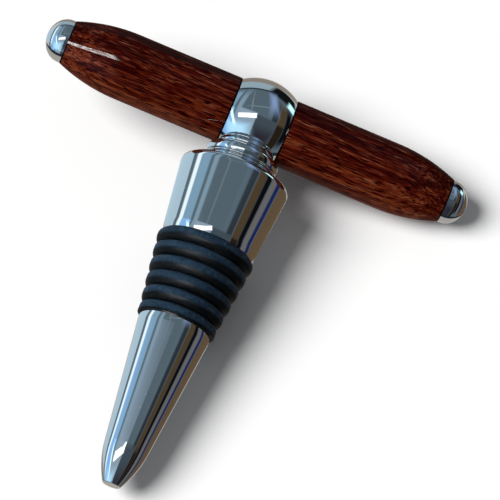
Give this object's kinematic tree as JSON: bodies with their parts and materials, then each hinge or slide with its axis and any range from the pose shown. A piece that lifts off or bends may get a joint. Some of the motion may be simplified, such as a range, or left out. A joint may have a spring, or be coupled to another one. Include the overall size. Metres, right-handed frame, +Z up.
{
  "type": "bottle stopper",
  "caption": "Bottle stopper with a wood T handle and a hollow chromed cone with a ribbed rubber sleeve; the handle unscrews from the cone and bares a corkscrew worm.",
  "frame": {"origin": "point on the cone's axis in the middle of the rubber sleeve, where the stopper seals a bottle", "axes": "+Z up with the object lying at rest; the cone points towards -Y and 4.3 degrees down; the handle runs along X, its right end 10.0 degrees down"},
  "size_m": [0.097, 0.0965, 0.0265],
  "materials": {
    "chrome": "bright plated, mirror",
    "lacquered_wood": "turned and lacquered, high gloss",
    "brass": "drawn tube",
    "steel": "plated wire",
    "black_rubber": "moulded, satin"
  },
  "bodies": {
    "stopper": {"stopper_cone": "chrome", "sealing_sleeve": "black_rubber"},
    "handle": {"hub_coupler": "chrome", "corkscrew_worm": "steel", "left_barrel": "lacquered_wood", "right_barrel": "lacquered_wood", "left_tube": "brass", "right_tube": "brass", "left_end_cap": "chrome", "right_end_cap": "chrome"}
  },
  "joints": [
    {"name": "handle_draw_off", "type": "slide", "parent": "stopper", "child": "handle", "axis": [0, 0.9971, 0.0757], "range_m": [0, 0.06]}
  ]
}
